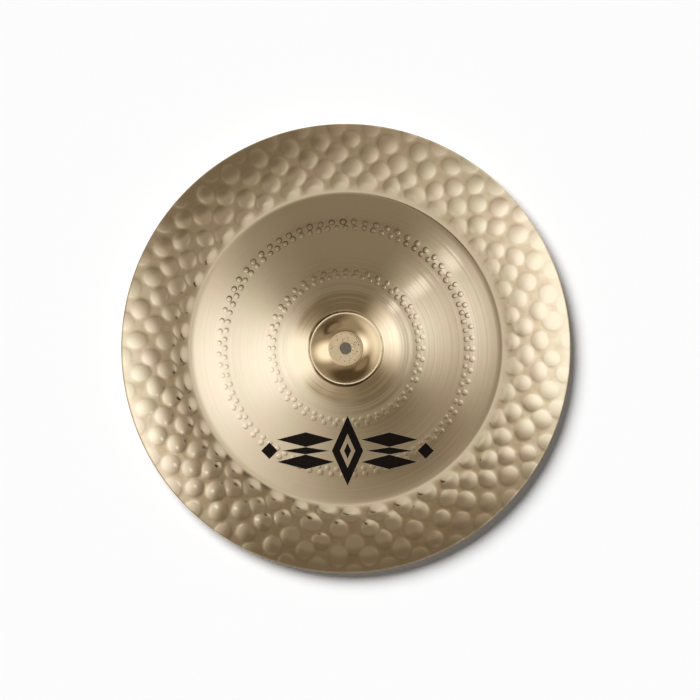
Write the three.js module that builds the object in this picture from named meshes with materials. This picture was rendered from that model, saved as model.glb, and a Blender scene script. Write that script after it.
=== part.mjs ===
// A china cymbal, 19 inches across: one sheet of cast bronze with a small stepped bell, a bow that falls
// away from it, and a flange that turns up outside a rounded crease and is hammered all over.
// Millimetres, +Z up. It lies with its bell up, and the origin is the middle of the ring that it rests on.
import * as THREE from 'three';

// Sizes across, from the middle out.
const holeDiameter = 12.7;
const seatDiameter = 37;
const domeDiameter = 80.6;
const skirtWidth = 18;
const flangeWidth = 74.5;
const rimDiameter = 482.6;

// How far each stretch falls on its way out, between the sharp corners of the section.
const domeHeight = 16;
const skirtHeight = 6.2;
const bowHeight = 24;
const flangeRise = 14.5;

// Thickness of the sheet, which is thinned from the bell's foot to the rim.
const bellWall = 1.1;
const rimWall = 0.75;

// Half the width over which each corner of the section is rounded.
const seatRounding = 1.4;
const domeRounding = 1.3;
const bellRounding = 2.2;
const ringRounding = 1.8;
const creaseRounding = 4.5;

// Two rings of light hammering bend the bow. Their places are shares of its width.
const ringPlaceShares = [0.205, 0.692];

// The slope at a stretch's inner end, as a share of its mean slope. It changes evenly from there.
const seatSlopeShare = 1;
const domeSlopeShare = 0.47;
const skirtSlopeShare = 0.85;
const bowSlopeShare = 1.17;
const flangeSlopeShare = 0.2;

// The flange's hammer marks: staggered rows of round dents. The gaps run from the crease to the middles of
// the first row, and from those of the last row to the rim, which cuts that row's dents nearly in half.
const creaseGap = 11.5;
const rimGap = 2.2;
const markDiameter = 23;
const markDepth = 0.5;
const markRows = 5;
const marksInRow = 40;

// The first row's first mark stands this share of a step round from +X.
const firstMarkShare = 0.25;

// Bands of faces across the dome, and points on a ring of the sheet for each mark of a row.
const domeBands = 3;
const bellPointsPerMark = 1;
const bowPointsPerMark = 2;
const flangePointsPerMark = 4;

const holeRadius = holeDiameter / 2;
const seatRadius = seatDiameter / 2;
const domeRadius = domeDiameter / 2;
const bellRadius = domeRadius + skirtWidth;
const rimRadius = rimDiameter / 2;
const creaseRadius = rimRadius - flangeWidth;
const bowWidth = creaseRadius - bellRadius;
const firstRowRadius = creaseRadius + creaseGap;
const lastRowRadius = rimRadius - rimGap;
const rowPitch = (lastRowRadius - firstRowRadius) / (markRows - 1);
const markAngle = (2 * Math.PI) / marksInRow;

// The section as stretches from the hole to the rim. `rounding` is that of the corner at the outer end.
function sectionStretches() {
  const stretches = [
    { to: seatRadius, fall: 0, slopeShare: seatSlopeShare, rounding: seatRounding },
    { to: domeRadius, fall: domeHeight, slopeShare: domeSlopeShare, rounding: domeRounding },
    { to: bellRadius, fall: skirtHeight, slopeShare: skirtSlopeShare, rounding: bellRounding },
  ];
  let doneShare = 0;
  for (const share of [...ringPlaceShares, 1]) {
    const fall = bowHeight * (share - doneShare);
    const rounding = share === 1 ? creaseRounding : ringRounding;
    stretches.push({ to: bellRadius + bowWidth * share, fall, slopeShare: bowSlopeShare, rounding });
    doneShare = share;
  }
  stretches.push({ to: rimRadius, fall: -flangeRise, slopeShare: flangeSlopeShare, rounding: 0 });
  return stretches;
}

// The section's slope as [radius, fall per millimetre] knots, with an even change between one and the next.
// A corner is rounded by two knots, one on each side of it, so the heights beyond it stay as they were.
function slopeKnots() {
  const knots = [];
  let from = holeRadius;
  let roundingBefore = 0;
  for (const { to, fall, slopeShare, rounding } of sectionStretches()) {
    const width = to - from;
    const mean = fall / width;
    const slopeAt = (radius) => mean * (slopeShare + (2 * (1 - slopeShare) * (radius - from)) / width);
    const inner = from + Math.min(roundingBefore, width / 2);
    const outer = to - Math.min(rounding, width / 2);
    knots.push([inner, slopeAt(inner)], [outer, slopeAt(outer)]);
    from = to;
    roundingBefore = rounding;
  }
  return knots;
}

const knots = slopeKnots();

// Slope and height of the plain top face at a radius. The height counts down from the top of the bell.
function sectionAt(radius) {
  let height = 0;
  let [fromRadius, fromSlope] = knots[0];
  for (const [toRadius, toSlope] of knots.slice(1)) {
    const width = toRadius - fromRadius;
    const reached = Math.min(radius - fromRadius, width);
    const share = width > 0 ? reached / width : 0;
    const slope = fromSlope + (toSlope - fromSlope) * share;
    height -= (reached * (fromSlope + slope)) / 2;
    if (radius <= toRadius) return { height, slope };
    [fromRadius, fromSlope] = [toRadius, toSlope];
  }
  return { height, slope: fromSlope };
}

// Radius of the crease's lowest ring, on which the sheet rests. Its section stops falling there and rises.
function restRadius() {
  const rising = knots.findIndex(([, slope]) => slope < 0);
  const [[fromRadius, fromSlope], [toRadius, toSlope]] = knots.slice(rising - 1, rising + 1);
  return fromRadius + ((toRadius - fromRadius) * fromSlope) / (fromSlope - toSlope);
}

// Thickness of the sheet, measured square to its face.
function wallAt(radius) {
  const share = Math.max(0, (radius - bellRadius) / (rimRadius - bellRadius));
  return bellWall + (rimWall - bellWall) * share;
}

// Depth of the hammer marks at a point of the flange. Odd rows are turned by half a step.
function markDepthAt(radius, angle) {
  let depth = 0;
  for (let row = 0; row < markRows; row += 1) {
    const turned = angle / markAngle - firstMarkShare - (row % 2) / 2;
    const offCentre = (turned - Math.round(turned)) * markAngle;
    const rowRadius = firstRowRadius + rowPitch * row;
    const away = Math.hypot(radius * Math.cos(offCentre) - rowRadius, radius * Math.sin(offCentre));
    const awayShare = Math.min(1, away / (markDiameter / 2));
    depth = Math.max(depth, markDepth * (1 - awayShare ** 2) ** 1.5);
  }
  return depth;
}

// Radii of the rings of points that carry the sheet's faces, with the number of points on each.
// The flange has a ring through each row of marks, and one halfway between each row and the next.
function meshRings() {
  const even = (from, to, bands) =>
    Array.from({ length: bands + 1 }, (_, band) => from + ((to - from) * band) / bands);
  const radiiOf = (from, to) =>
    knots.map(([radius]) => radius).filter((radius) => radius > from && radius < to);
  const seat = [holeRadius, ...radiiOf(holeRadius, seatRadius)];
  const dome = even(seatRadius + seatRounding, domeRadius - domeRounding, domeBands);
  const flange = even(firstRowRadius - rowPitch / 2, lastRowRadius, markRows * 2 - 1);
  const ringsOf = (radii, pointsPerMark) =>
    radii.map((radius) => ({ radius, points: marksInRow * pointsPerMark }));
  return [
    ...ringsOf([...seat, ...dome], bellPointsPerMark),
    ...ringsOf(radiiOf(domeRadius, creaseRadius), bowPointsPerMark),
    ...ringsOf([restRadius(), ...flange, rimRadius], flangePointsPerMark),
  ];
}

// Joins two rings by triangles. Where one has fewer points, some of its points serve two columns.
// The diagonals run to the middles of the marks, the same way on both faces of the sheet.
function stitch(indices, a, b) {
  const columns = Math.max(a.points, b.points);
  const point = (ring, column) =>
    ring.first + (Math.floor((column * ring.points) / columns + 1 / 2) % ring.points);
  for (let column = 0; column < columns; column += 1) {
    const [a0, a1, b0, b1] = [point(a, column), point(a, column + 1), point(b, column), point(b, column + 1)];
    const forward = ((Math.min(a.order, b.order) + column) % 2 === 0) === a.under;
    const pair = forward ? [[a0, b0, b1], [a0, b1, a1]] : [[a0, b0, a1], [a1, b0, b1]];
    for (const triangle of pair) {
      if (new Set(triangle).size === 3) indices.push(...triangle);
    }
  }
}

// The sheet as one closed surface: the top face from the hole out, the rim, the underside back in, the hole.
function sheetGeometry() {
  const positions = [];
  const addRing = ({ radius, points }, order, under) => {
    const { height, slope } = sectionAt(radius);
    const thickness = wallAt(radius) * Math.hypot(1, slope);
    const first = positions.length / 3;
    for (let step = 0; step < points; step += 1) {
      const angle = (2 * Math.PI * step) / points;
      const z = height - markDepthAt(radius, angle) - (under ? thickness : 0);
      positions.push(radius * Math.cos(angle), radius * Math.sin(angle), z);
    }
    return { first, points, order, under };
  };
  const rings = meshRings();
  const top = rings.map((ring, order) => addRing(ring, order, false));
  const under = rings.map((ring, order) => addRing(ring, order, true)).reverse();
  const loop = [...top, ...under];
  const indices = [];
  loop.forEach((ring, place) => stitch(indices, ring, loop[(place + 1) % loop.length]));

  const geometry = new THREE.BufferGeometry();
  geometry.setAttribute('position', new THREE.Float32BufferAttribute(positions, 3));
  geometry.setIndex(indices);
  geometry.computeBoundingBox();
  geometry.translate(0, 0, -geometry.boundingBox.min.z);
  geometry.computeVertexNormals();
  return geometry;
}

function cymbalSheet() {
  const bronze = new THREE.MeshStandardMaterial({ color: 0xd8c193, roughness: 0.24, metalness: 1 });
  const sheet = new THREE.Mesh(sheetGeometry(), bronze);
  sheet.name = 'cymbal';
  return sheet;
}

const chinaCymbal = new THREE.Group();
chinaCymbal.add(cymbalSheet());

export default chinaCymbal;
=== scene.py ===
"""Looks of a 19-inch china cymbal: one sheet of hammered and turned bronze, lying bell up on a pale floor.

Metres, +Z up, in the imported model's frame. The sheet is one closed surface made of rings of points. Its
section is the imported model's, with the finer work of the hammer and the lathe added to it.
"""
import math
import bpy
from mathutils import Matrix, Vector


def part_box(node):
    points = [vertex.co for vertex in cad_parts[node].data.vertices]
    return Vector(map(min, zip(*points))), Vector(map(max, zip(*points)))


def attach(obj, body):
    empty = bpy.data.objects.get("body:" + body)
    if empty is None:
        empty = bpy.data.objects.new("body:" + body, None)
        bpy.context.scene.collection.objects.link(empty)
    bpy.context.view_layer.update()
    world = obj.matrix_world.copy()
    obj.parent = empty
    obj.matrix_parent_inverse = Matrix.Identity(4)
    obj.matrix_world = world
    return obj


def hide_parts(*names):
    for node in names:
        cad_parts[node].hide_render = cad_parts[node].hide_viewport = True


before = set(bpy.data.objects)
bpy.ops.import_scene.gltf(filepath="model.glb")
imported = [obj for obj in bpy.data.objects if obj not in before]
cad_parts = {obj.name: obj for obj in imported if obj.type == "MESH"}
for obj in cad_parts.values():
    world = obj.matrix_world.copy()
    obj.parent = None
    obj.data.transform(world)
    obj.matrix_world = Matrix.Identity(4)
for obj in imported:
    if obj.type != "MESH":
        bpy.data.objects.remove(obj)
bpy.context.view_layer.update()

from types import SimpleNamespace

import bpy
import numpy as np

sheet_low, sheet_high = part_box("cymbal")

MM = 0.001

# Sizes across the sheet, from the middle out.
RIM_RADIUS = (sheet_high.x - sheet_low.x) / 2
HOLE_RADIUS = 6.35 * MM
SEAT_RADIUS = 18.5 * MM
DOME_RADIUS = 40.3 * MM
BELL_RADIUS = 58.3 * MM
CREASE_RADIUS = RIM_RADIUS - 74.5 * MM
BOW_WIDTH = CREASE_RADIUS - BELL_RADIUS

# How far each stretch of the section falls on its way out.
TOP_HEIGHT = sheet_high.z
DOME_HEIGHT = 16 * MM
SKIRT_HEIGHT = 6.2 * MM
BOW_HEIGHT = 24 * MM
FLANGE_RISE = 14.5 * MM

# The slope at a stretch's inner end, as a share of its mean slope. It changes evenly from there.
DOME_SLOPE_SHARE = 0.47
SKIRT_SLOPE_SHARE = 0.85
BOW_SLOPE_SHARE = 1.17
FLANGE_SLOPE_SHARE = 0.2

# Half the width over which each corner of the section is rounded.
SEAT_ROUNDING = 1.4 * MM
DOME_ROUNDING = 2.1 * MM
BELL_ROUNDING = 2.2 * MM
RING_ROUNDING = 1.8 * MM
CREASE_ROUNDING = 4.5 * MM
EDGE_ROUNDING = 0.25 * MM
EDGE_STEPS = 6

# Thickness of the sheet, which is thinned from the bell's foot to the rim.
BELL_WALL = 1.1 * MM
RIM_WALL = 0.75 * MM

# The flange's hammer marks, in staggered rows. A row's turn is its first mark's place, as a share of a step.
FIRST_ROW_RADIUS = CREASE_RADIUS + 11.5 * MM
LAST_ROW_RADIUS = RIM_RADIUS - 2.2 * MM
MARK_RADIUS = 11.6 * MM
MARK_DEPTH = 0.61 * MM
MARKS_IN_ROW = 40
FIRST_MARK_SHARE = 0.25
ROW_DEPTH_SHARES = (1.0, 1.05, 1.05, 0.9, 0.5)
ROW_RADII = np.linspace(FIRST_ROW_RADIUS, LAST_ROW_RADIUS, len(ROW_DEPTH_SHARES))
MARK_ROWS = [
    {"radius": row_radius, "marks": MARKS_IN_ROW, "turn": FIRST_MARK_SHARE + (row % 2) / 2,
     "size": MARK_RADIUS, "depth": MARK_DEPTH * share}
    for row, (row_radius, share) in enumerate(zip(ROW_RADII, ROW_DEPTH_SHARES))
]
MARK_STYLE = {"crispness": 1.3, "wander": 1.5 * MM}

# The first row's marks fade out before they reach the crease.
MARKS_FADE_FROM = 168.5 * MM
MARKS_FADE_TO = 180 * MM

# The bow's two rings of light hammering, as shares of its width. Each has two rows of small round bumps,
# which were hammered up from below, so here a depth is a height.
RING_PLACE_SHARES = (0.205, 0.692)
BUMP_ROWS = (
    {"radius": 77.6 * MM, "marks": 56, "turn": 0, "size": 2.6 * MM, "depth": 0.05 * MM},
    {"radius": 82.8 * MM, "marks": 44, "turn": 0, "size": 2.8 * MM, "depth": 0.07 * MM},
    {"radius": 130.2 * MM, "marks": 84, "turn": 0, "size": 2.8 * MM, "depth": 0.08 * MM},
    {"radius": 136.2 * MM, "marks": 71, "turn": 0, "size": 3.0 * MM, "depth": 0.10 * MM},
)
BUMP_STYLE = {"crispness": 0.7, "wander": 0.25 * MM}

# How much one mark differs from the next: one usual step of its stretch, size and depth, as shares of them,
# and the most steps that any draw may go.
STRETCH_STEP = 0.05
SIZE_STEP = 0.05
DEPTH_STEP = 0.12
MOST_STEPS = 2

# The share away from the nearest mark, where there is none near.
FAR_AWAY = 2.0

# Turned grooves: a radius, a half width and a depth, which is below nought for the bead round the seat.
GROOVES = (
    {"radius": 17.2 * MM, "width": 0.4 * MM, "depth": 0.05 * MM},
    {"radius": 18.9 * MM, "width": 0.7 * MM, "depth": -0.07 * MM},
    {"radius": 46.4 * MM, "width": 0.9 * MM, "depth": 0.02 * MM},
    {"radius": 50.4 * MM, "width": 0.9 * MM, "depth": 0.05 * MM},
    {"radius": 168.4 * MM, "width": 0.8 * MM, "depth": 0.035 * MM},
)

# How strongly the lathe's lines show, at radii from the hole out.
TURNING = (
    (18 * MM, 0.25), (20 * MM, 0.4), (39 * MM, 0.5), (42 * MM, 1.6), (56 * MM, 1.6), (60 * MM, 1.7),
    (74 * MM, 1.4), (90 * MM, 1.1), (122 * MM, 0.9), (142 * MM, 1.0), (162 * MM, 1.0), (168 * MM, 0.5),
    (176 * MM, 0.1),
)

# Rings of points on each face, as bands from one radius to the next: outer radius, spacing, points on a ring.
TOP_BANDS = (
    (SEAT_RADIUS - 2 * SEAT_ROUNDING, 2.5 * MM, 160),
    (SEAT_RADIUS + 1.3 * SEAT_ROUNDING, 0.3 * MM, 160),
    (DOME_RADIUS - 1.3 * DOME_ROUNDING, 1.4 * MM, 160),
    (DOME_RADIUS + 1.4 * DOME_ROUNDING, 0.2 * MM, 160),
    (BELL_RADIUS - BELL_ROUNDING, 0.5 * MM, 160),
    (BELL_RADIUS + 1.2 * BELL_ROUNDING, 0.6 * MM, 160),
    (72.8 * MM, 2.4 * MM, 320),
    (87.8 * MM, 1 * MM, 500),
    (125.2 * MM, 3.4 * MM, 320),
    (140.4 * MM, 1 * MM, 740),
    (160 * MM, 3.3 * MM, 400),
    (171 * MM, 0.8 * MM, 400),
    (RIM_RADIUS - EDGE_ROUNDING, 1.65 * MM, 720),
)
UNDER_BANDS = (
    (SEAT_RADIUS - SEAT_ROUNDING, 4 * MM, 160),
    (SEAT_RADIUS + SEAT_ROUNDING, 0.9 * MM, 160),
    (DOME_RADIUS - DOME_ROUNDING, 2.4 * MM, 160),
    (DOME_RADIUS + DOME_ROUNDING, 0.9 * MM, 160),
    (BELL_RADIUS - BELL_ROUNDING, 3 * MM, 160),
    (BELL_RADIUS + BELL_ROUNDING, 1.5 * MM, 160),
    (160 * MM, 9 * MM, 240),
    (174 * MM, 2 * MM, 320),
    (RIM_RADIUS - EDGE_ROUNDING, 2.9 * MM, 320),
)


def section_knots():
    """The plain section's slope as knots: radii, and the fall per metre there, even between one and the next.

    Every stretch runs between two sharp corners. A corner is rounded by two knots, one on each side of it.
    """
    stretches = [
        (SEAT_RADIUS, 0, 1, SEAT_ROUNDING),
        (DOME_RADIUS, DOME_HEIGHT, DOME_SLOPE_SHARE, DOME_ROUNDING),
        (BELL_RADIUS, SKIRT_HEIGHT, SKIRT_SLOPE_SHARE, BELL_ROUNDING),
    ]
    done_share = 0
    for share in (*RING_PLACE_SHARES, 1):
        rounding = CREASE_ROUNDING if share == 1 else RING_ROUNDING
        fall = BOW_HEIGHT * (share - done_share)
        stretches.append((BELL_RADIUS + BOW_WIDTH * share, fall, BOW_SLOPE_SHARE, rounding))
        done_share = share
    stretches.append((RIM_RADIUS, -FLANGE_RISE, FLANGE_SLOPE_SHARE, 0))

    radii, slopes = [], []
    start, rounding_before = HOLE_RADIUS, 0
    for end, fall, slope_share, rounding in stretches:
        width = end - start
        for radius in (start + rounding_before, end - rounding):
            radii.append(radius)
            slopes.append(fall / width * (slope_share + 2 * (1 - slope_share) * (radius - start) / width))
        start, rounding_before = end, rounding
    return np.array(radii), np.array(slopes)


KNOT_RADII, KNOT_SLOPES = section_knots()


def plain_slope(radius):
    """Fall per metre of the plain top face, straight from knot to knot."""
    return np.interp(radius, KNOT_RADII, KNOT_SLOPES)


def plain_height(radius):
    """Height of the plain top face: the bell's top less the slope summed from the hole out."""
    falls = np.diff(KNOT_RADII) * (KNOT_SLOPES[1:] + KNOT_SLOPES[:-1]) / 2
    fall_at_knot = np.concatenate([[0], np.cumsum(falls)])
    inside = np.clip(radius, KNOT_RADII[0], KNOT_RADII[-1])
    knot = np.clip(np.searchsorted(KNOT_RADII, inside, side="right") - 1, 0, len(KNOT_RADII) - 2)
    further = (inside - KNOT_RADII[knot]) * (KNOT_SLOPES[knot] + plain_slope(inside)) / 2
    return TOP_HEIGHT - fall_at_knot[knot] - further


def groove_depth(radius):
    """Depth of the turned grooves: a bell curve across each one."""
    depth = np.zeros_like(radius)
    for groove in GROOVES:
        away = (radius - groove["radius"]) / groove["width"]
        depth += groove["depth"] * np.exp(-away**2)
    return depth


def ring_of_marks(radius, angle, row, style, seed):
    """Depth of one ring of round marks, and how far away each point is from its mark's middle.

    The distance is a share of the mark's size. A mark is depth * (1 - away^2)^crispness within its size. Each
    one has its own small shift, size, depth and stretch to one side, drawn once from the seed and limited.
    """
    draws = np.clip(np.random.default_rng(seed).normal(size=(5, row["marks"])), -MOST_STEPS, MOST_STEPS)
    step = 2 * np.pi / row["marks"]
    mark = np.round(angle / step - row["turn"]).astype(int)
    shift_along, shift_across, size_draw, depth_draw, stretch_draw = draws[:, mark % row["marks"]]
    centre_angle = (mark + row["turn"]) * step
    along = radius * np.sin(angle - centre_angle) - style["wander"] * shift_along
    across = radius * np.cos(angle - centre_angle) - row["radius"] - style["wander"] * shift_across
    stretch = STRETCH_STEP * stretch_draw
    own_size = row["size"] * (1 + SIZE_STEP * size_draw)
    own_depth = row["depth"] * (1 + DEPTH_STEP * depth_draw)
    away = np.hypot(along * (1 + stretch), across * (1 - stretch)) / own_size
    return own_depth * np.clip(1 - away**2, 0, None) ** style["crispness"], away


def rows_of_marks(radius, angle, rows, style, first_seed):
    """Depth of several rings of marks, the deeper where two meet, and the share away from the nearest."""
    depth = np.zeros_like(radius)
    nearest = np.full_like(radius, FAR_AWAY)
    for seed, row in enumerate(rows, start=first_seed):
        marks, away = ring_of_marks(radius, angle, row, style, seed)
        depth = np.maximum(depth, marks)
        nearest = np.minimum(nearest, away)
    return depth, nearest


def crease_fade(radius):
    """0 at the crease and 1 on the flange, with the soft change 3 * share^2 - 2 * share^3 between them."""
    share = np.clip((radius - MARKS_FADE_FROM) / (MARKS_FADE_TO - MARKS_FADE_FROM), 0, 1)
    return share * share * (3 - 2 * share)


def turning_at(radius):
    """Strength of the lathe's lines, even from one of the radii given to the next."""
    radii, strengths = zip(*TURNING)
    return np.interp(radius, radii, strengths)


def wall_at(radius):
    """Thickness, even from the bell's foot to the rim, and the same all over the bell."""
    share = np.clip((radius - BELL_RADIUS) / (RIM_RADIUS - BELL_RADIUS), 0, None)
    return BELL_WALL + (RIM_WALL - BELL_WALL) * share


def face_rings(bands):
    """Radii of a face's rings from the hole out, and the number of points on each."""
    radii, points = [HOLE_RADIUS + EDGE_ROUNDING], [bands[0][2]]
    for outer, spacing, count in bands:
        steps = max(1, round((outer - radii[-1]) / spacing))
        radii += list(np.linspace(radii[-1], outer, steps + 1)[1:])
        points += [count] * steps
    return np.array(radii), np.array(points)


def edge_rings(radius, outward, points):
    """Rings round an edge of the sheet, a half ellipse from the top face to the underside."""
    turn = np.linspace(np.pi / 2, -np.pi / 2, EDGE_STEPS + 1)[1:-1]
    radii = radius + outward * EDGE_ROUNDING * (np.cos(turn) - 1)
    return radii, (1 - np.sin(turn)) / 2, np.full(len(turn), points)


def closed_rings():
    """Every ring in order: top face outwards, rim, underside inwards, hole.

    Each has a radius, its place through the thickness from 0 on top to 1 below, and its number of points.
    """
    top_radii, top_points = face_rings(TOP_BANDS)
    under_radii, under_points = face_rings(UNDER_BANDS)
    rim_radii, rim_depths, rim_points = edge_rings(RIM_RADIUS, 1, TOP_BANDS[-1][2])
    hole_radii, hole_depths, hole_points = edge_rings(HOLE_RADIUS, -1, TOP_BANDS[0][2])
    radii = np.concatenate([top_radii, rim_radii, under_radii[::-1], hole_radii[::-1]])
    depths = np.concatenate([0 * top_radii, rim_depths, 0 * under_radii + 1, hole_depths[::-1]])
    points = np.concatenate([top_points, rim_points, under_points[::-1], hole_points])
    return radii, depths, points


def stitched_triangles(points, first):
    """Triangles between each ring and the next, the last ring joining the first.

    Both rings are read at as many columns as the fuller one has, the other's points by rounding, and each
    column is cut along the diagonal into two triangles. Those with a point twice are left out.
    """
    following = np.roll(np.arange(len(points)), -1)
    columns = np.maximum(points, points[following])
    ring = np.repeat(np.arange(len(points)), columns)
    column = np.arange(columns.sum()) - np.repeat(np.cumsum(columns) - columns, columns)

    def point(of_ring, at_column):
        rounded = (at_column * points[of_ring] * 2 + columns[ring]) // (2 * columns[ring])
        return first[of_ring] + rounded % points[of_ring]

    a0, a1 = point(ring, column), point(ring, column + 1)
    b0, b1 = point(following[ring], column), point(following[ring], column + 1)
    turned = (ring + column) % 2 == 0
    one = np.where(turned, [a0, b0, b1], [a0, b0, a1]).T
    two = np.where(turned, [a0, b1, a1], [a1, b0, b1]).T
    triangles = np.concatenate([one, two])
    whole = (triangles != np.roll(triangles, 1, axis=1)).all(axis=1)
    return triangles[whole]


def sheet_mesh():
    """The closed sheet, with the values that its material needs given at its points.

    Height = plain section - hammer marks + small bumps on both faces, - grooves on the top face alone,
    - thickness for the underside. The thickness is measured square to the slope.
    """
    radii, depths, points = closed_rings()
    first = np.cumsum(points) - points
    ring = np.repeat(np.arange(len(points)), points)
    angle = 2 * np.pi * (np.arange(points.sum()) - first[ring]) / points[ring]
    radius, depth = radii[ring], depths[ring]

    hammered, mark_share = rows_of_marks(radius, angle, MARK_ROWS, MARK_STYLE, 0)
    raised, bump_share = rows_of_marks(radius, angle, BUMP_ROWS, BUMP_STYLE, len(MARK_ROWS))
    height = plain_height(radius) - hammered * crease_fade(radius) + raised
    height -= groove_depth(radius) * (1 - depth)
    height = np.maximum(height - depth * wall_at(radius) * np.hypot(1, plain_slope(radius)), 0)
    places = np.column_stack([radius * np.cos(angle), radius * np.sin(angle), height])
    triangles = stitched_triangles(points, first)

    mesh = bpy.data.meshes.new("cymbal_sheet")
    mesh.vertices.add(len(places))
    mesh.vertices.foreach_set("co", places.astype(np.float32).ravel())
    mesh.loops.add(triangles.size)
    mesh.loops.foreach_set("vertex_index", triangles.astype(np.int32).ravel())
    mesh.polygons.add(len(triangles))
    mesh.polygons.foreach_set("loop_start", np.arange(0, triangles.size, 3, dtype=np.int32))
    mesh.polygons.foreach_set("use_smooth", np.ones(len(triangles), bool))
    mesh.update(calc_edges=True)
    mesh.validate()

    given = {
        "top_side": depth < 0.5,
        "mark_share": mark_share,
        "bump_share": bump_share,
        "turning": turning_at(radius),
    }
    for name, values in given.items():
        mesh.attributes.new(name, "FLOAT", "POINT").data.foreach_set("value", values.astype(np.float32))
    return mesh


def feed(tree, socket, value):
    """Links the socket to another one, or sets it to a value."""
    if isinstance(value, bpy.types.NodeSocket):
        tree.links.new(value, socket)
    else:
        socket.default_value = value


def add_node(tree, kind, *inputs, **settings):
    """Adds a node. Each input is a socket to link, a value to set, or None to leave as it is."""
    made = tree.nodes.new(kind)
    for name, value in settings.items():
        setattr(made, name, value)
    for socket, value in zip(made.inputs, inputs):
        if value is not None:
            feed(tree, socket, value)
    return made


def calculate(tree, operation, *inputs):
    """A Math node's result."""
    return add_node(tree, "ShaderNodeMath", *inputs, operation=operation).outputs[0]


def product(tree, first, *others):
    """All that is given, multiplied together."""
    for other in others:
        first = calculate(tree, "MULTIPLY", first, other)
    return first


def total(tree, first, *others):
    """All that is given, added up."""
    for other in others:
        first = calculate(tree, "ADD", first, other)
    return first


def straight_step(tree, value, start, end, low, high):
    """Low before start, high after end, and an even change between them."""
    return add_node(tree, "ShaderNodeMapRange", value, start, end, low, high).outputs["Result"]


def smooth_step(tree, value, start, end, low=0.0, high=1.0):
    """Low before start, high after end, and a soft change between them."""
    return add_node(
        tree, "ShaderNodeMapRange", value, start, end, low, high, interpolation_type="SMOOTHSTEP"
    ).outputs["Result"]


def towards(tree, value, level, mask):
    """The value moved to the level where the mask is 1."""
    return add_node(tree, "ShaderNodeMix", mask, None, value, level, data_type="FLOAT").outputs[0]


def blend(tree, mask, colour, other):
    """The colour, moved to the other where the mask is 1."""
    mix = add_node(tree, "ShaderNodeMix", mask, data_type="RGBA")
    feed(tree, mix.inputs["A"], colour)
    feed(tree, mix.inputs["B"], other)
    return mix.outputs["Result"]


def length(tree, vector):
    """How long a vector is."""
    return add_node(tree, "ShaderNodeVectorMath", vector, operation="LENGTH").outputs["Value"]


def noise(tree, place, size, detail, dimensions="3D"):
    """A Noise Texture's value, from 0 to 1. Its place is a vector, or in one dimension a number."""
    texture = add_node(tree, "ShaderNodeTexNoise", noise_dimensions=dimensions)
    tree.links.new(place, texture.inputs["W" if dimensions == "1D" else "Vector"])
    texture.inputs["Scale"].default_value = 1 / size
    texture.inputs["Detail"].default_value = detail
    return texture.outputs[0]


def attribute(tree, name):
    """One of the sheet's own values, given at its points."""
    return add_node(tree, "ShaderNodeAttribute", attribute_name=name).outputs["Fac"]


# Bronze: a rosy and a greenish tone that it varies between, a golden one on the bell, and what darkens it.
ROSY_BRONZE = (0.925, 0.812, 0.65, 1)
GREEN_BRONZE = (0.895, 0.825, 0.635, 1)
GOLDEN_BRONZE = (0.93, 0.775, 0.53, 1)
# Dull bronze on the underside and the worn edges, and painted shade on the net between the hammer marks.
DULL_AND_SHADE_BRONZE = (0.66, 0.53, 0.34, 1)
# Brown in the pits and in the dark corner line, and painted shade round the small bumps.
PIT_AND_SHADE_BROWN = (0.16, 0.10, 0.05, 1)
INK_BLACK = (0.008, 0.005, 0.004, 1)

# The fine work that the material adds: waves with a spacing, how fine their detail goes, and their height.
FINE_LINES = {"spacing": 0.8 * MM, "detail": 3, "height": 0.003 * MM}
BROAD_LINES = {"spacing": 5 * MM, "detail": 1.3, "height": 0.08 * MM}
RIPPLE = {"spacing": 9 * MM, "detail": 1, "height": 0.035 * MM}

# Heights of the lip round a hammer mark and of a small bump's wall, depth of a pit and thickness of the ink.
MARK_LIP = 0.06 * MM
BUMP_LIP = 0.10 * MM
PIT_DEPTH = 0.02 * MM
INK_HEIGHT = 0.01 * MM

# How many cells for pits there are to a metre, and how strongly a pit, the duller underside and the felt's
# dirt on the seat show.
PIT_CELLS = 560
PIT_STRENGTH = 0.9
UNDER_STRENGTH = 0.55
SEAT_STRENGTH = 0.2

# The middle of the dark line in the corner at the dome's foot.
CORNER_LINE_RADIUS = DOME_RADIUS - 0.5 * MM

# Roughness of each finish that the polish doesn't cover, and the shine of what isn't metal.
PATINA_ROUGHNESS = 0.22
SEAT_ROUGHNESS = 0.45
UNDER_ROUGHNESS = 0.26
WEAR_ROUGHNESS = 0.3
INK_ROUGHNESS = 0.38
INK_SHINE = 0.1

# Soft patches from place to place: their size, how fine their detail goes, the stretch of the noise that
# counts, and the levels at its two ends.
PATCHES = {
    "lathe lines": {"size": 40 * MM, "detail": 2, "stretch": (0.25, 0.65), "levels": (0.35, 1)},
    "mark lips": {"size": 17 * MM, "detail": 2, "stretch": (0.3, 0.6), "levels": (0.45, 1)},
    "green bronze": {"size": 26 * MM, "detail": 2, "stretch": (0.4, 0.6), "levels": (0, 1)},
    "patina": {"size": 14 * MM, "detail": 3, "stretch": (0.3, 0.7), "levels": (0.35, 1)},
    "dark corner line": {"size": 16 * MM, "detail": 2, "stretch": (0.35, 0.6), "levels": (0.2, 0.85)},
    "polish": {"size": 30 * MM, "detail": 3, "stretch": (0.35, 0.65), "levels": (0.075, 0.115)},
}

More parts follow.
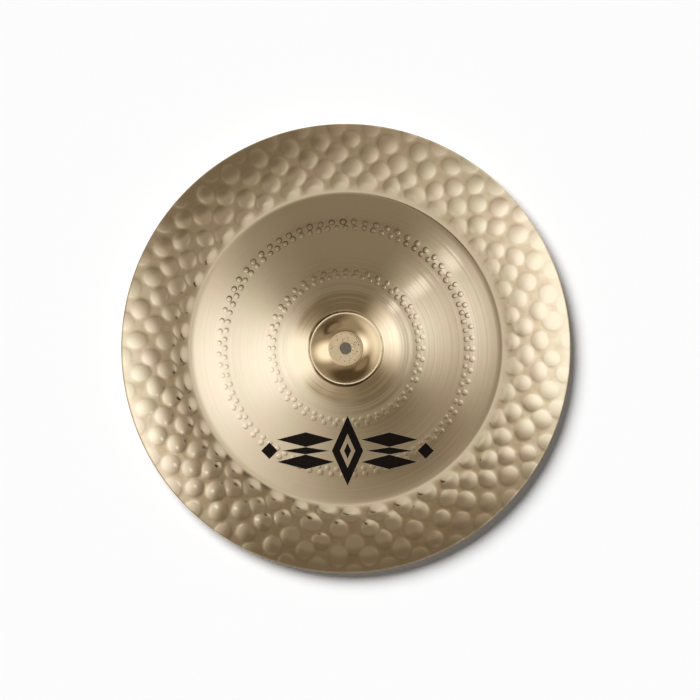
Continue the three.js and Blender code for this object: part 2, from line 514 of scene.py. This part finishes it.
# Soft changes over the sheet: where each one starts and ends, and its levels before and after.
FADES = {
    "top face": (0.3, 0.7, 0, 1),
    "hammered flange": (MARKS_FADE_FROM, MARKS_FADE_TO - 3 * MM, 0, 1),
    "lip of a mark": (0.66, 0.96, 0, 1),
    "net between marks": (0.7, 0.96, 0, 1),
    "polished rim": (RIM_RADIUS - 17 * MM, RIM_RADIUS - 3 * MM, 1, 0.35),
    "painted shade from front to back": (-210 * MM, 60 * MM, 1, 0.68),
    "golden dome": (DOME_RADIUS - 2 * MM, DOME_RADIUS + 1 * MM, 0.5, 0),
    "golden bell": (BELL_RADIUS - 3 * MM, BELL_RADIUS + 3 * MM, 0.5, 0),
    "foot of a bump": (0.6, 0.85, 0, 1),
    "past a bump": (1, 1.2, 1, 0),
    "bump shade from front to back": (-20 * MM, 60 * MM, 0.12, 0.8),
    "bump shade from ring to ring": (90 * MM, 120 * MM, 0.5, 1),
    "dark corner line": (0.3 * MM, 1.3 * MM, 1, 0),
    "round pit": (0.22, 0.4, 1, 0),
    "pitted top": (15.8 * MM, 16.8 * MM, 1, 0),
    "felt seat": (SEAT_RADIUS - 2.8 * MM, SEAT_RADIUS - 1.8 * MM, 1, 0),
    "worn rim": (RIM_RADIUS - 0.9 * MM, RIM_RADIUS - 0.3 * MM, 0, 0.5),
    "worn hole": (HOLE_RADIUS + 0.2 * MM, HOLE_RADIUS + 0.9 * MM, 0.5, 0),
}

# Straight changes, read in the same way: a small bump's wall, and the share of cells with a pit from the left
# of the hole to its right.
BUMP_WALL = (0.6, 1.0, BUMP_LIP, 0)
PITTED_SHARE = (-12 * MM, 12 * MM, 0.25, 0.75)

# The ornament's place, and its lozenges: middle, half width and half height. Those to the right are mirrored.
ORNAMENT_MIDDLE = (2 * MM, -110 * MM)
LOZENGES = (
    {"place": (0, 0), "half": (17 * MM, 38 * MM), "inked": 1},
    {"place": (0, 0), "half": (8 * MM, 18 * MM), "inked": 0},
    {"place": (0, 0), "half": (4 * MM, 9 * MM), "inked": 1},
    {"place": (45 * MM, 12 * MM), "half": (31 * MM, 8 * MM), "inked": 1},
    {"place": (45 * MM, -12 * MM), "half": (31 * MM, 8 * MM), "inked": 1},
    {"place": (45 * MM, 0), "half": (26 * MM, 4 * MM), "inked": 1},
    {"place": (84 * MM, 0), "half": (9 * MM, 9 * MM), "inked": 1},
)
PRINT_SOFTNESS = 0.4 * MM


def fade(tree, value, name):
    """One of the soft changes over the sheet, at a value."""
    return smooth_step(tree, value, *FADES[name])


def patchy(tree, place, name):
    """One of the kinds of soft patches."""
    kind = PATCHES[name]
    value = noise(tree, place, kind["size"], kind["detail"])
    return smooth_step(tree, value, *kind["stretch"], *kind["levels"])


def waves(tree, place, kind, dimensions="3D"):
    """Height of lathe lines or of a ripple."""
    return product(tree, noise(tree, place, kind["spacing"], kind["detail"], dimensions), kind["height"])


def sheet_places(tree):
    """What the finishes go by: the place on the sheet, which face it is on, and the marks near it."""
    place = add_node(tree, "ShaderNodeTexCoord").outputs["Object"]
    x, y, _ = add_node(tree, "ShaderNodeSeparateXYZ", place).outputs
    radius = length(tree, add_node(tree, "ShaderNodeCombineXYZ", x, y).outputs[0])
    top = fade(tree, attribute(tree, "top_side"), "top face")
    return SimpleNamespace(
        place=place,
        x=x,
        y=y,
        radius=radius,
        top=top,
        under=calculate(tree, "SUBTRACT", 1.0, top),
        hammered=fade(tree, radius, "hammered flange"),
        worn=patchy(tree, place, "patina"),
        mark_share=attribute(tree, "mark_share"),
        bump_share=attribute(tree, "bump_share"),
    )


def patina_mask(tree, at):
    """Patina and painted shade: 1 on the net between the hammer marks, less in the worn patches and where
    the rim is polished.
    """
    net = fade(tree, at.mark_share, "net between marks")
    return product(tree, net, at.worn, at.hammered, fade(tree, at.radius, "polished rim"))


def bump_shade_mask(tree, at):
    """Painted shade: a dark ring round each small bump, mostly towards the back and on the outer ring
    of bumps.
    """
    foot = fade(tree, at.bump_share, "foot of a bump")
    ring = product(tree, foot, fade(tree, at.bump_share, "past a bump"))
    strength = product(
        tree, fade(tree, at.y, "bump shade from front to back"), at.worn,
        fade(tree, at.radius, "bump shade from ring to ring"),
    )
    return product(tree, ring, strength, at.top)


def corner_line_mask(tree, at):
    """A line in the corner at the dome's foot, stronger here and there."""
    away = calculate(tree, "ABSOLUTE", calculate(tree, "SUBTRACT", at.radius, CORNER_LINE_RADIUS))
    return product(tree, fade(tree, away, "dark corner line"), patchy(tree, at.place, "dark corner line"), at.top)


def pit_mask(tree, at):
    """1 in the small pits of the bell's flat top, most of them to the right of the hole."""
    cells = add_node(tree, "ShaderNodeTexVoronoi", at.place, None, PIT_CELLS)
    chance = add_node(tree, "ShaderNodeSeparateXYZ", cells.outputs["Color"]).outputs[0]
    pitted = calculate(tree, "LESS_THAN", chance, straight_step(tree, at.x, *PITTED_SHARE))
    round_pit = fade(tree, cells.outputs["Distance"], "round pit")
    return product(tree, pitted, round_pit, fade(tree, at.radius, "pitted top"), at.top)


def wear_mask(tree, at):
    """Half worn at the rim and at the edge of the hole, where hands and stands rub."""
    return total(tree, fade(tree, at.radius, "worn rim"), fade(tree, at.radius, "worn hole"))


def lozenge_mask(tree, x, y, lozenge):
    """1 inside a lozenge: where |x| / half width + |y| / half height, from its middle, is below 1."""
    across = calculate(tree, "ABSOLUTE", calculate(tree, "SUBTRACT", x, lozenge["place"][0]))
    along = calculate(tree, "ABSOLUTE", calculate(tree, "SUBTRACT", y, lozenge["place"][1]))
    reach = total(
        tree, calculate(tree, "DIVIDE", across, lozenge["half"][0]),
        calculate(tree, "DIVIDE", along, lozenge["half"][1]),
    )
    edge = PRINT_SOFTNESS / min(lozenge["half"])
    return smooth_step(tree, reach, 1 - edge, 1 + edge, 1.0, 0.0)


def ink_mask(tree, at):
    """1 on the printed ornament, a row of lozenges, each laid over those before it."""
    x = calculate(tree, "SUBTRACT", at.x, ORNAMENT_MIDDLE[0])
    y = calculate(tree, "SUBTRACT", at.y, ORNAMENT_MIDDLE[1])
    mirrored = calculate(tree, "ABSOLUTE", x)
    inked = 0.0
    for lozenge in LOZENGES:
        inked = towards(tree, inked, lozenge["inked"], lozenge_mask(tree, mirrored, y, lozenge))
    return product(tree, inked, at.top)


def bronze_height(tree, at, masks):
    """Height of what is too fine for the sheet's points.

    Lathe lines are noise along the radius alone, weaker here and there, and the polish leaves a soft ripple
    on the flange. Each hammer mark ends in a narrow lip, and each small bump has a straight steep wall.
    """
    lines = total(tree, waves(tree, at.radius, FINE_LINES, "1D"), waves(tree, at.radius, BROAD_LINES, "1D"))
    turning = calculate(tree, "MAXIMUM", attribute(tree, "turning"), at.under)
    turned = product(tree, lines, product(tree, turning, patchy(tree, at.place, "lathe lines")))
    ripple = product(tree, waves(tree, at.place, RIPPLE), at.hammered)
    lip = fade(tree, at.mark_share, "lip of a mark")
    lip = product(tree, lip, MARK_LIP, patchy(tree, at.place, "mark lips"), at.hammered)
    lips = total(tree, lip, straight_step(tree, at.bump_share, *BUMP_WALL))
    pits = product(tree, masks.pits, -PIT_DEPTH)
    return total(tree, turned, ripple, lips, pits, product(tree, masks.ink, INK_HEIGHT))


def bronze_colour(tree, at, masks):
    """Two kinds of bronze in patches, golden on the bell, and over them in order what darkens them."""
    colour = blend(tree, patchy(tree, at.place, "green bronze"), ROSY_BRONZE, GREEN_BRONZE)
    golden = total(tree, fade(tree, at.radius, "golden dome"), fade(tree, at.radius, "golden bell"))
    colour = blend(tree, golden, colour, GOLDEN_BRONZE)
    layers = (
        # Patina on the net between the hammer marks, with painted shade that is stronger towards the front.
        (product(tree, masks.patina, fade(tree, at.y, "painted shade from front to back")), DULL_AND_SHADE_BRONZE),
        (product(tree, at.under, UNDER_STRENGTH), DULL_AND_SHADE_BRONZE),
        # Painted shade round the small bumps.
        (bump_shade_mask(tree, at), PIT_AND_SHADE_BROWN),
        # A patchy dark line in the corner at the dome's foot.
        (corner_line_mask(tree, at), PIT_AND_SHADE_BROWN),
        (product(tree, masks.pits, PIT_STRENGTH), PIT_AND_SHADE_BROWN),
        (masks.wear, DULL_AND_SHADE_BRONZE),
        (masks.ink, INK_BLACK),
    )
    for mask, darker in layers:
        colour = blend(tree, mask, colour, darker)
    return colour


def bronze_roughness(tree, at, masks):
    """The polish, a little uneven, and over it in order the finishes that it doesn't cover."""
    roughness = patchy(tree, at.place, "polish")
    layers = (
        (masks.patina, PATINA_ROUGHNESS),
        (masks.seat, SEAT_ROUGHNESS),
        (at.under, UNDER_ROUGHNESS),
        (masks.wear, WEAR_ROUGHNESS),
        (masks.ink, INK_ROUGHNESS),
    )
    for mask, level in layers:
        roughness = towards(tree, roughness, level, mask)
    return roughness


def bronze_material():
    """Polished cast bronze: lathe lines, patina and painted shade on the net between the hammer marks,
    painted shade round the small bumps, a dark line at the golden dome's foot, pits round the hole, a worn
    rim, a duller underside and the printed ornament."""
    material = bpy.data.materials.new("bronze")
    material.use_nodes = True
    tree = material.node_tree
    at = sheet_places(tree)
    masks = SimpleNamespace(
        patina=patina_mask(tree, at),
        seat=fade(tree, at.radius, "felt seat"),
        pits=pit_mask(tree, at),
        wear=wear_mask(tree, at),
        ink=ink_mask(tree, at),
    )
    bump = add_node(tree, "ShaderNodeBump")
    bump.inputs["Strength"].default_value = 1
    bump.inputs["Distance"].default_value = 1
    tree.links.new(bronze_height(tree, at, masks), bump.inputs["Height"])

    shader = tree.nodes["Principled BSDF"]
    shader.inputs["Specular IOR Level"].default_value = INK_SHINE
    tree.links.new(bump.outputs["Normal"], shader.inputs["Normal"])
    tree.links.new(bronze_colour(tree, at, masks), shader.inputs["Base Color"])
    tree.links.new(bronze_roughness(tree, at, masks), shader.inputs["Roughness"])
    plain_share = total(tree, masks.ink, product(tree, masks.seat, SEAT_STRENGTH))
    tree.links.new(calculate(tree, "SUBTRACT", 1.0, plain_share), shader.inputs["Metallic"])
    return material


def build_sheet():
    """The cymbal's one piece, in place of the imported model's."""
    sheet = bpy.data.objects.new("cymbal_sheet", sheet_mesh())
    bpy.context.scene.collection.objects.link(sheet)
    sheet.data.materials.append(bronze_material())
    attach(sheet, "root")
    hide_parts("cymbal")


WHITE = (1, 1, 1, 1)

# The floor, and the share of it that is seen as plain white by the camera and by shiny surfaces.
FLOOR_HALF = 4.0
FLOOR_COLOUR = (0.95, 0.95, 0.95, 1)
FLOOR_ROUGHNESS = 0.8
FLOOR_GLOW_SHARE = 0.05
FLOOR_GLOW_SHARE_IN_METAL = 0.13


def build_floor():
    """A plain pale floor. The camera sees a small share of it as even white, and nothing of it from below."""
    mesh = bpy.data.meshes.new("floor")
    corners = [(x * FLOOR_HALF, y * FLOOR_HALF, 0) for x, y in ((-1, -1), (1, -1), (1, 1), (-1, 1))]
    mesh.from_pydata(corners, [], [(0, 1, 2, 3)])
    floor = bpy.data.objects.new("floor", mesh)
    bpy.context.scene.collection.objects.link(floor)
    material = bpy.data.materials.new("pale_floor")
    material.use_nodes = True
    tree = material.node_tree
    shader = tree.nodes["Principled BSDF"]
    shader.inputs["Base Color"].default_value = FLOOR_COLOUR
    shader.inputs["Roughness"].default_value = FLOOR_ROUGHNESS
    shader.inputs["Specular IOR Level"].default_value = 0
    glow = add_node(tree, "ShaderNodeEmission", WHITE, 1.0)
    clear = add_node(tree, "ShaderNodeBsdfTransparent")
    rays = add_node(tree, "ShaderNodeLightPath").outputs
    share = total(
        tree, product(tree, rays["Is Camera Ray"], FLOOR_GLOW_SHARE),
        product(tree, rays["Is Glossy Ray"], FLOOR_GLOW_SHARE_IN_METAL),
    )
    top = add_node(tree, "ShaderNodeMixShader", share, shader.outputs[0], glow.outputs[0])
    below = add_node(tree, "ShaderNodeNewGeometry").outputs["Backfacing"]
    either = add_node(tree, "ShaderNodeMixShader", below, top.outputs[0], clear.outputs[0])
    tree.links.new(either.outputs[0], tree.nodes["Material Output"].inputs["Surface"])
    mesh.materials.append(material)


# The studio overhead, as the polished sheet sees it. Angles are in degrees: azimuth runs from +X towards +Y,
# and tilt from the zenith down. Each softbox is an oval of the half width and half height given, and its
# softness is the share of its reach over which its edge fades. Dark ones are openings between the others.
STUDIO_FILL = 0.22
SOFTBOXES = (
    {"name": "zenith haze", "azimuth": 187, "tilt": 2, "half": (8, 6), "softness": 0.85, "level": 0.46},
    {"name": "front glow", "azimuth": 239, "tilt": 25, "half": (8, 16), "softness": 0.9, "level": 0.41},
    {"name": "low right", "azimuth": 16, "tilt": 81, "half": (35, 14), "softness": 1, "level": 0.79},
    {"name": "low front", "azimuth": 279, "tilt": 71, "half": (42, 24), "softness": 0.4, "level": 0.05},
    {"name": "low back", "azimuth": 118, "tilt": 92, "half": (33, 22), "softness": 0.45, "level": 0.08},
    {"name": "back gap", "azimuth": 84, "tilt": 34, "half": (34, 11), "softness": 0.5, "level": 0.11},
    {"name": "left softbox", "azimuth": 190, "tilt": 48, "half": (21, 34), "softness": 0.5, "level": 0.93},
    {"name": "right softbox", "azimuth": 16, "tilt": 45, "half": (18, 17.5), "softness": 1, "level": 1.07},
    {"name": "front gap", "azimuth": 302, "tilt": 34, "half": (14, 10), "softness": 0.6, "level": 0.12},
    {"name": "back shade", "azimuth": 89, "tilt": 20, "half": (13, 10), "softness": 0.45, "level": 0.16},
    {"name": "small lamp", "azimuth": 40, "tilt": 26.5, "half": (2.2, 2), "softness": 0.6, "level": 0.8},
    {"name": "back frame", "azimuth": 125, "tilt": 67, "half": (20, 15), "softness": 0.3, "level": 0.05},
    {"name": "back panel", "azimuth": 117, "tilt": 62, "half": (17, 10), "softness": 0.35, "level": 0.17},
    {"name": "front frame", "azimuth": 315, "tilt": 60, "half": (22, 13), "softness": 0.3, "level": 0.08},
    {"name": "front panel", "azimuth": 316, "tilt": 59, "half": (18, 10), "softness": 0.25, "level": 0.17},
    {"name": "lens", "azimuth": 55, "tilt": 7.4, "half": (3.2, 2), "softness": 0.35, "level": 0.01},
)

# Below the horizon the shiny surfaces see this level, from one tilt to the other on.
HORIZON_LEVEL = 0.3
HORIZON_TILTS = (92, 96)

# Colour of the studio's light at full level, and the power that each colour dims by as the level falls.
STUDIO_TINT = (1.25, 1.22, 1.2)
DIMMING_POWERS = (0.915, 1.02, 1.18)

# The room's light on what isn't shiny.
ROOM_LIGHT = (0.06, 0.06, 0.06, 1)


def new_group(name, inputs, outputs):
    """An empty shader node group. Inputs and outputs are names with their kinds of socket."""
    tree = bpy.data.node_groups.new(name, "ShaderNodeTree")
    for socket, kind in inputs.items():
        tree.interface.new_socket(socket, in_out="INPUT", socket_type=kind)
    for socket, kind in outputs.items():
        tree.interface.new_socket(socket, in_out="OUTPUT", socket_type=kind)
    return tree, tree.nodes.new("NodeGroupInput").outputs, tree.nodes.new("NodeGroupOutput").inputs


def add_group(tree, group, label, **inputs):
    """A labelled node that holds the group, with the inputs given by name linked or set."""
    made = add_node(tree, "ShaderNodeGroup", node_tree=group, label=label)
    for name, value in inputs.items():
        feed(tree, made.inputs[name], value)
    return made


def turned_back(tree, direction, angle, axis):
    """A direction turned back about an axis by an angle in degrees."""
    back = calculate(tree, "RADIANS", calculate(tree, "MULTIPLY", angle, -1.0))
    turn = add_node(tree, "ShaderNodeVectorRotate", direction, (0, 0, 0), None, back, rotation_type=axis)
    return turn.outputs[0]


def softbox_group():
    """Mask of a soft-edged oval in the sky. The direction is turned until the oval's middle is straight up,
    and its two angles from there are taken as shares of the half height and the half width."""
    number = "NodeSocketFloat"
    numbers = dict.fromkeys(("azimuth", "tilt", "width", "height", "softness"), number)
    tree, given, result = new_group("softbox", {"direction": "NodeSocketVector", **numbers}, {"mask": number})
    facing = turned_back(tree, given["direction"], given["azimuth"], "Z_AXIS")
    upright = turned_back(tree, facing, given["tilt"], "Y_AXIS")
    x, y, z = add_node(tree, "ShaderNodeSeparateXYZ", upright).outputs
    down = calculate(tree, "DEGREES", calculate(tree, "ARCTAN2", x, z))
    across = calculate(tree, "DEGREES", calculate(tree, "ARCSINE", y))
    down_share = calculate(tree, "DIVIDE", down, given["height"])
    across_share = calculate(tree, "DIVIDE", across, given["width"])
    reach = length(tree, add_node(tree, "ShaderNodeCombineXYZ", down_share, across_share).outputs[0])
    inner = calculate(tree, "SUBTRACT", 1.0, given["softness"])
    outer = calculate(tree, "ADD", 1.0, given["softness"])
    tree.links.new(smooth_step(tree, reach, inner, outer, 1.0, 0.0), result["mask"])
    return tree


def studio_colour(tree):
    """The studio by direction: the fill, with each softbox in turn laid over it, and the horizon last."""
    direction = add_node(tree, "ShaderNodeTexCoord").outputs["Generated"]
    up = add_node(tree, "ShaderNodeSeparateXYZ", direction).outputs[2]
    tilt = calculate(tree, "DEGREES", calculate(tree, "ARCCOSINE", up))
    softbox = softbox_group()
    level = STUDIO_FILL
    for box in SOFTBOXES:
        width, height = box["half"]
        oval = add_group(
            tree, softbox, box["name"], direction=direction, azimuth=box["azimuth"], tilt=box["tilt"],
            width=width, height=height, softness=box["softness"],
        )
        level = towards(tree, level, box["level"], oval.outputs["mask"])
    level = towards(tree, level, HORIZON_LEVEL, smooth_step(tree, tilt, *HORIZON_TILTS))
    channels = [
        product(tree, calculate(tree, "POWER", level, power), tint)
        for power, tint in zip(DIMMING_POWERS, STUDIO_TINT)
    ]
    return add_node(tree, "ShaderNodeCombineColor", *channels).outputs[0]


def build_world():
    """White for the camera, and a plain pale light on what isn't shiny. Shiny surfaces see the studio."""
    world = bpy.data.worlds.new("studio")
    bpy.context.scene.world = world
    world.use_nodes = True
    tree = world.node_tree
    tree.nodes.clear()
    rays = add_node(tree, "ShaderNodeLightPath").outputs
    colour = blend(tree, rays["Is Glossy Ray"], ROOM_LIGHT, studio_colour(tree))
    colour = blend(tree, rays["Is Transmission Ray"], colour, WHITE)
    colour = blend(tree, rays["Is Camera Ray"], colour, WHITE)
    background = add_node(tree, "ShaderNodeBackground", colour)
    add_node(tree, "ShaderNodeOutputWorld", background.outputs[0])


# The key lamp: how broad it looks, how far it leans from the zenith and which way it is turned, in degrees.
LAMP_BREADTH = 38
LAMP_LEAN = 45
LAMP_TURN = 132
LAMP_STRENGTH = 4.3


def build_lamp():
    """A broad key lamp, high on the upper left of the picture, for the shadow and for what isn't shiny."""
    data = bpy.data.lights.new("key_lamp", "SUN")
    data.angle = math.radians(LAMP_BREADTH)
    data.energy = LAMP_STRENGTH
    lamp = bpy.data.objects.new("key_lamp", data)
    lamp.rotation_euler = (0, math.radians(LAMP_LEAN), math.radians(LAMP_TURN))
    lamp.visible_glossy = False
    bpy.context.scene.collection.objects.link(lamp)


# The width that the camera shows and the middle of it, its lens in millimetres, and the furthest it sees.
VIEW_WIDTH = 753 * MM
VIEW_MIDDLE = (4.6 * MM, -1.7 * MM)
CAMERA_LENS = 600
CAMERA_REACH = 30


def build_camera():
    """Straight above the cymbal, from so far away that its view hardly converges."""
    data = bpy.data.cameras.new("camera")
    data.lens = CAMERA_LENS
    data.clip_end = CAMERA_REACH
    camera = bpy.data.objects.new("camera", data)
    camera.location = (*VIEW_MIDDLE, VIEW_WIDTH * data.lens / data.sensor_width)
    bpy.context.scene.collection.objects.link(camera)
    bpy.context.scene.camera = camera


bpy.context.scene.view_settings.view_transform = "Standard"
build_camera()
build_sheet()
build_floor()
build_world()
build_lamp()
